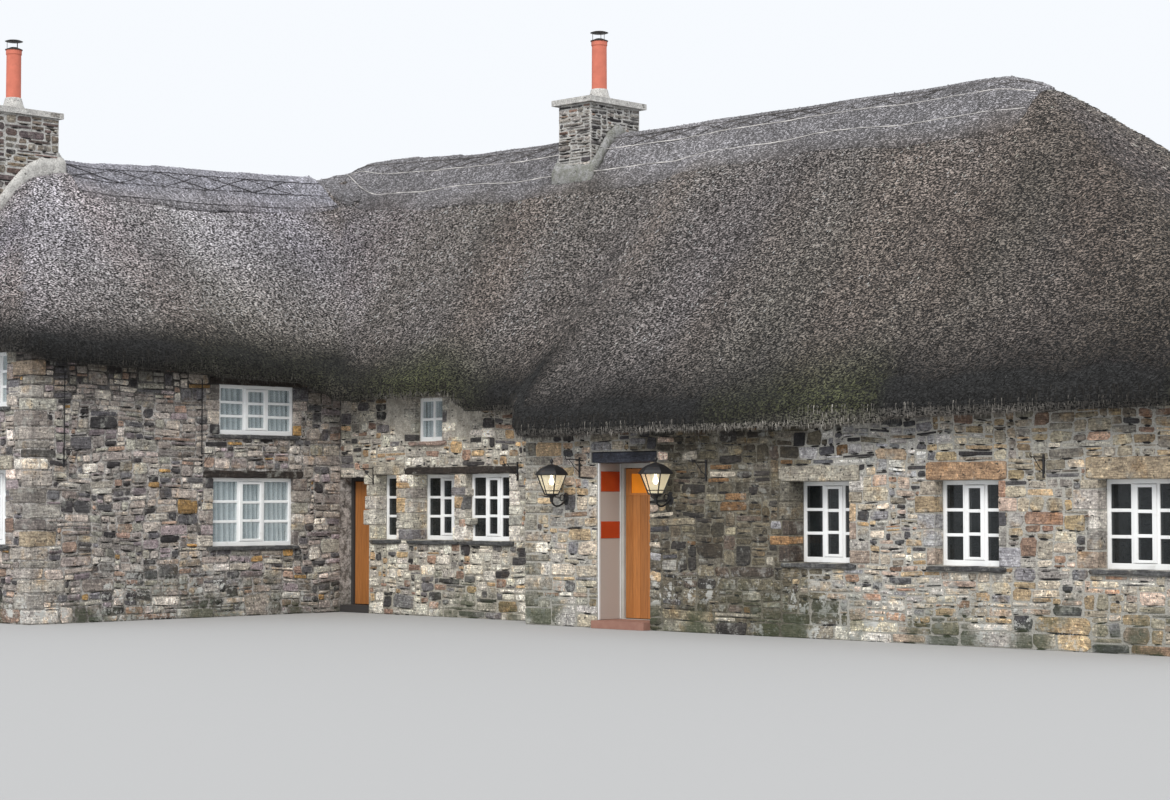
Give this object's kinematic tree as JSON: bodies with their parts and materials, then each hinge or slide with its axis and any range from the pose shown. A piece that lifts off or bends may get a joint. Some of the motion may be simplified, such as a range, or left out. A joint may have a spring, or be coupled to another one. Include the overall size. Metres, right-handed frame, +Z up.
{
  "type": "thatched cottage",
  "caption": "Rubble-stone thatched cottage on an L plan, with a low main range, a two-storey wing, small-paned windows, two hinged doors and two chimney stacks.",
  "frame": {"origin": "underside of the ground floor at ground level, under the main ridge", "axes": "+X along the low main range to its hipped end, +Y to the back, +Z up"},
  "size_m": [20.9, 11.36, 8.2356],
  "materials": {
    "masonry": "rubble stone in lime mortar",
    "floor": "stone flags",
    "mortar": "smooth lime mortar",
    "oak": "dark weathered oak",
    "door": "varnished timber",
    "white_paint": "white painted timber with glass panes",
    "doorstep": "worn red stone",
    "thatch": "weathered straw thatch",
    "ridge": "weathered straw block ridge",
    "terracotta": "matt terracotta",
    "iron": "black painted"
  },
  "bodies": {
    "house": {"front_wall": "masonry", "front_wall_left": "masonry", "front_wall_over_door": "masonry", "inner_wall": "masonry", "inner_wall_over_door": "masonry", "wing_side_wall": "masonry", "wing_end_wall": "masonry", "wing_outer_wall": "masonry", "rear_wall": "masonry", "right_end_wall": "masonry", "main_chimney": "masonry", "wing_chimney": "masonry", "ground_floor": "floor", "main_chimney_fillet": "mortar", "wing_chimney_fillet": "mortar", "upper_floor": "oak", "front_door_lintel": "oak", "side_door_frame": "oak", "front_door_frame": "white_paint", "front_window_1": "white_paint", "front_window_2": "white_paint", "front_window_3": "white_paint", "inner_window_1": "white_paint", "inner_window_2": "white_paint", "inner_window_3": "white_paint", "inner_upper_window": "white_paint", "wing_side_window": "white_paint", "wing_side_upper_window": "white_paint", "wing_end_window_1": "white_paint", "wing_end_window_2": "white_paint", "wing_end_upper_window_1": "white_paint", "wing_end_upper_window_2": "white_paint", "wing_outer_window": "white_paint", "rear_window_1": "white_paint", "rear_window_2": "white_paint", "rear_window_3": "white_paint", "front_doorstep": "doorstep", "main_thatch_front": "thatch", "main_thatch_rear": "thatch", "right_thatch_hip": "thatch", "wing_thatch_inner": "thatch", "wing_thatch_outer": "thatch", "wing_thatch_hip": "thatch", "main_ridge": "ridge", "wing_ridge": "ridge", "main_chimney_pot": "terracotta", "wing_chimney_pot": "terracotta", "main_chimney_cowl": "iron", "wing_chimney_cowl": "iron", "left_lantern": "iron", "right_lantern": "iron"},
    "front_door": {"front_door": "door"},
    "side_door": {"side_door": "door"}
  },
  "joints": [
    {"name": "front_door_hinge", "type": "hinge", "parent": "house", "child": "front_door", "pos_m": [1.322, -2.506, 1], "axis": [0, 0, 1], "range_deg": [0, 90]},
    {"name": "side_door_hinge", "type": "hinge", "parent": "house", "child": "side_door", "pos_m": [-4.308, -2.116, 1], "axis": [0, 0, 1], "range_deg": [0, 90]}
  ]
}
